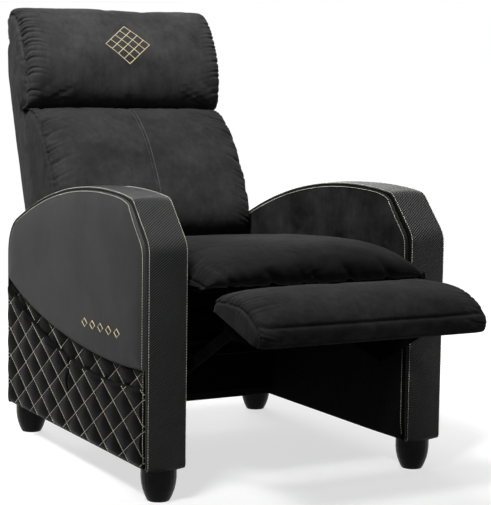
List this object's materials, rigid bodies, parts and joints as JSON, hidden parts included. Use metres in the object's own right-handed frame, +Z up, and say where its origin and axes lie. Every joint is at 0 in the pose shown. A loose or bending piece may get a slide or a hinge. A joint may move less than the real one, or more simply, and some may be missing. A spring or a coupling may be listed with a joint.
{
  "type": "push-back recliner armchair",
  "caption": "Black push-back recliner with slab arms, quilted side pockets, gliding seat, reclining cushioned back with headrest, and a folding footrest shown raised.",
  "frame": {"origin": "centre of the chair's footprint (the middle of its bounding box in plan), on the floor, with the footrest raised and the back as pictured", "axes": "+Z up, -Y is the way the sitter faces, +X is the sitter's left"},
  "size_m": [0.683, 1.2894, 0.9926],
  "materials": {
    "side_leather": "fine-grained dark grey leather, satin",
    "quilted_leather": "black diamond-quilted leather with cream stitching, satin",
    "ribbed_leather": "dark grey leather with fine diagonal ribs, satin",
    "black_velvet": "black short-pile velvet, matt",
    "foot_plastic": "black moulded plastic",
    "frame_wood": "raw plywood and timber, hidden",
    "black_steel": "black powder coat",
    "spring_steel": "bright drawn wire and turned pins"
  },
  "bodies": {
    "base": {"right_arm_core": "frame_wood", "right_edge_band": "ribbed_leather", "right_inner_panel": "black_velvet", "right_side_panel": "side_leather", "right_quilted_panel": "quilted_leather", "right_pocket": "quilted_leather", "front_right_foot": "foot_plastic", "rear_right_foot": "foot_plastic", "right_base_rail": "black_steel", "left_arm_core": "frame_wood", "left_edge_band": "ribbed_leather", "left_inner_panel": "black_velvet", "left_side_panel": "side_leather", "left_quilted_panel": "quilted_leather", "left_pocket": "quilted_leather", "front_left_foot": "foot_plastic", "rear_left_foot": "foot_plastic", "left_base_rail": "black_steel", "rear_lower_rail": "black_velvet", "front_spreader_tube": "black_steel", "rear_spreader_tube": "black_steel", "rear_dust_cloth": "black_velvet"},
    "seat": {"right_seat_plate": "black_steel", "left_seat_plate": "black_steel", "seat_front_rail": "frame_wood", "seat_rear_rail": "frame_wood", "seat_front_board": "black_velvet", "seat_spring_1": "spring_steel", "seat_spring_2": "spring_steel", "seat_spring_3": "spring_steel", "seat_spring_4": "spring_steel", "seat_cushion": "black_velvet"},
    "back": {"back_right_stile": "frame_wood", "back_left_stile": "frame_wood", "back_bottom_rail": "frame_wood", "back_top_rail": "frame_wood", "back_cover": "black_velvet", "back_spring_1": "spring_steel", "back_spring_2": "spring_steel", "lumbar_cushion": "black_velvet", "headrest_cushion": "black_velvet", "right_back_bracket": "black_steel", "left_back_bracket": "black_steel", "right_back_pin": "spring_steel", "left_back_pin": "spring_steel"},
    "footrest_lift": {"right_lift_link": "black_steel", "left_lift_link": "black_steel", "footrest_torque_tube": "black_steel"},
    "footrest_reach": {"right_reach_link": "black_steel", "left_reach_link": "black_steel"},
    "footrest_steady": {"right_steady_link": "black_steel", "left_steady_link": "black_steel"},
    "footrest": {"right_end_bracket": "black_steel", "left_end_bracket": "black_steel", "footrest_board": "frame_wood", "footrest_pad": "black_velvet"}
  },
  "joints": [
    {"name": "seat_glide", "type": "slide", "parent": "base", "child": "seat", "axis": [0, -1, 0], "range_m": [-0.0098, 0.0601]},
    {"name": "back_recline", "type": "hinge", "parent": "seat", "child": "back", "pos_m": [0, 0.27859, 0.33], "axis": [-1, 0, 0], "range_deg": [-8, 50]},
    {"name": "footrest_lift_fold", "type": "hinge", "parent": "seat", "child": "footrest_lift", "pos_m": [0, -0.18141, 0.31], "axis": [1, 0, 0], "range_deg": [0, 62.17]},
    {"name": "footrest_reach_fold", "type": "hinge", "parent": "footrest_lift", "child": "footrest_reach", "pos_m": [0, -0.34243, 0.2555], "axis": [1, 0, 0], "range_deg": [-100.1, 0]},
    {"name": "footrest_board_fold", "type": "hinge", "parent": "footrest_reach", "child": "footrest", "pos_m": [0, -0.51857, 0.35024], "axis": [1, 0, 0], "range_deg": [0, 111.9]},
    {"name": "footrest_steady_fold", "type": "hinge", "parent": "seat", "child": "footrest_steady", "pos_m": [0, -0.14001, 0.2672], "axis": [1, 0, 0], "range_deg": [0, 61.9]}
  ],
  "couplings": [
    {"joint": "seat_glide", "follows": "back_recline", "m_per_rad": 0.0688},
    {"joint": "footrest_reach_fold", "follows": "footrest_lift_fold", "ratio": -1.6084},
    {"joint": "footrest_board_fold", "follows": "footrest_lift_fold", "ratio": 1.7986},
    {"joint": "footrest_steady_fold", "follows": "footrest_lift_fold", "ratio": 0.9931}
  ]
}
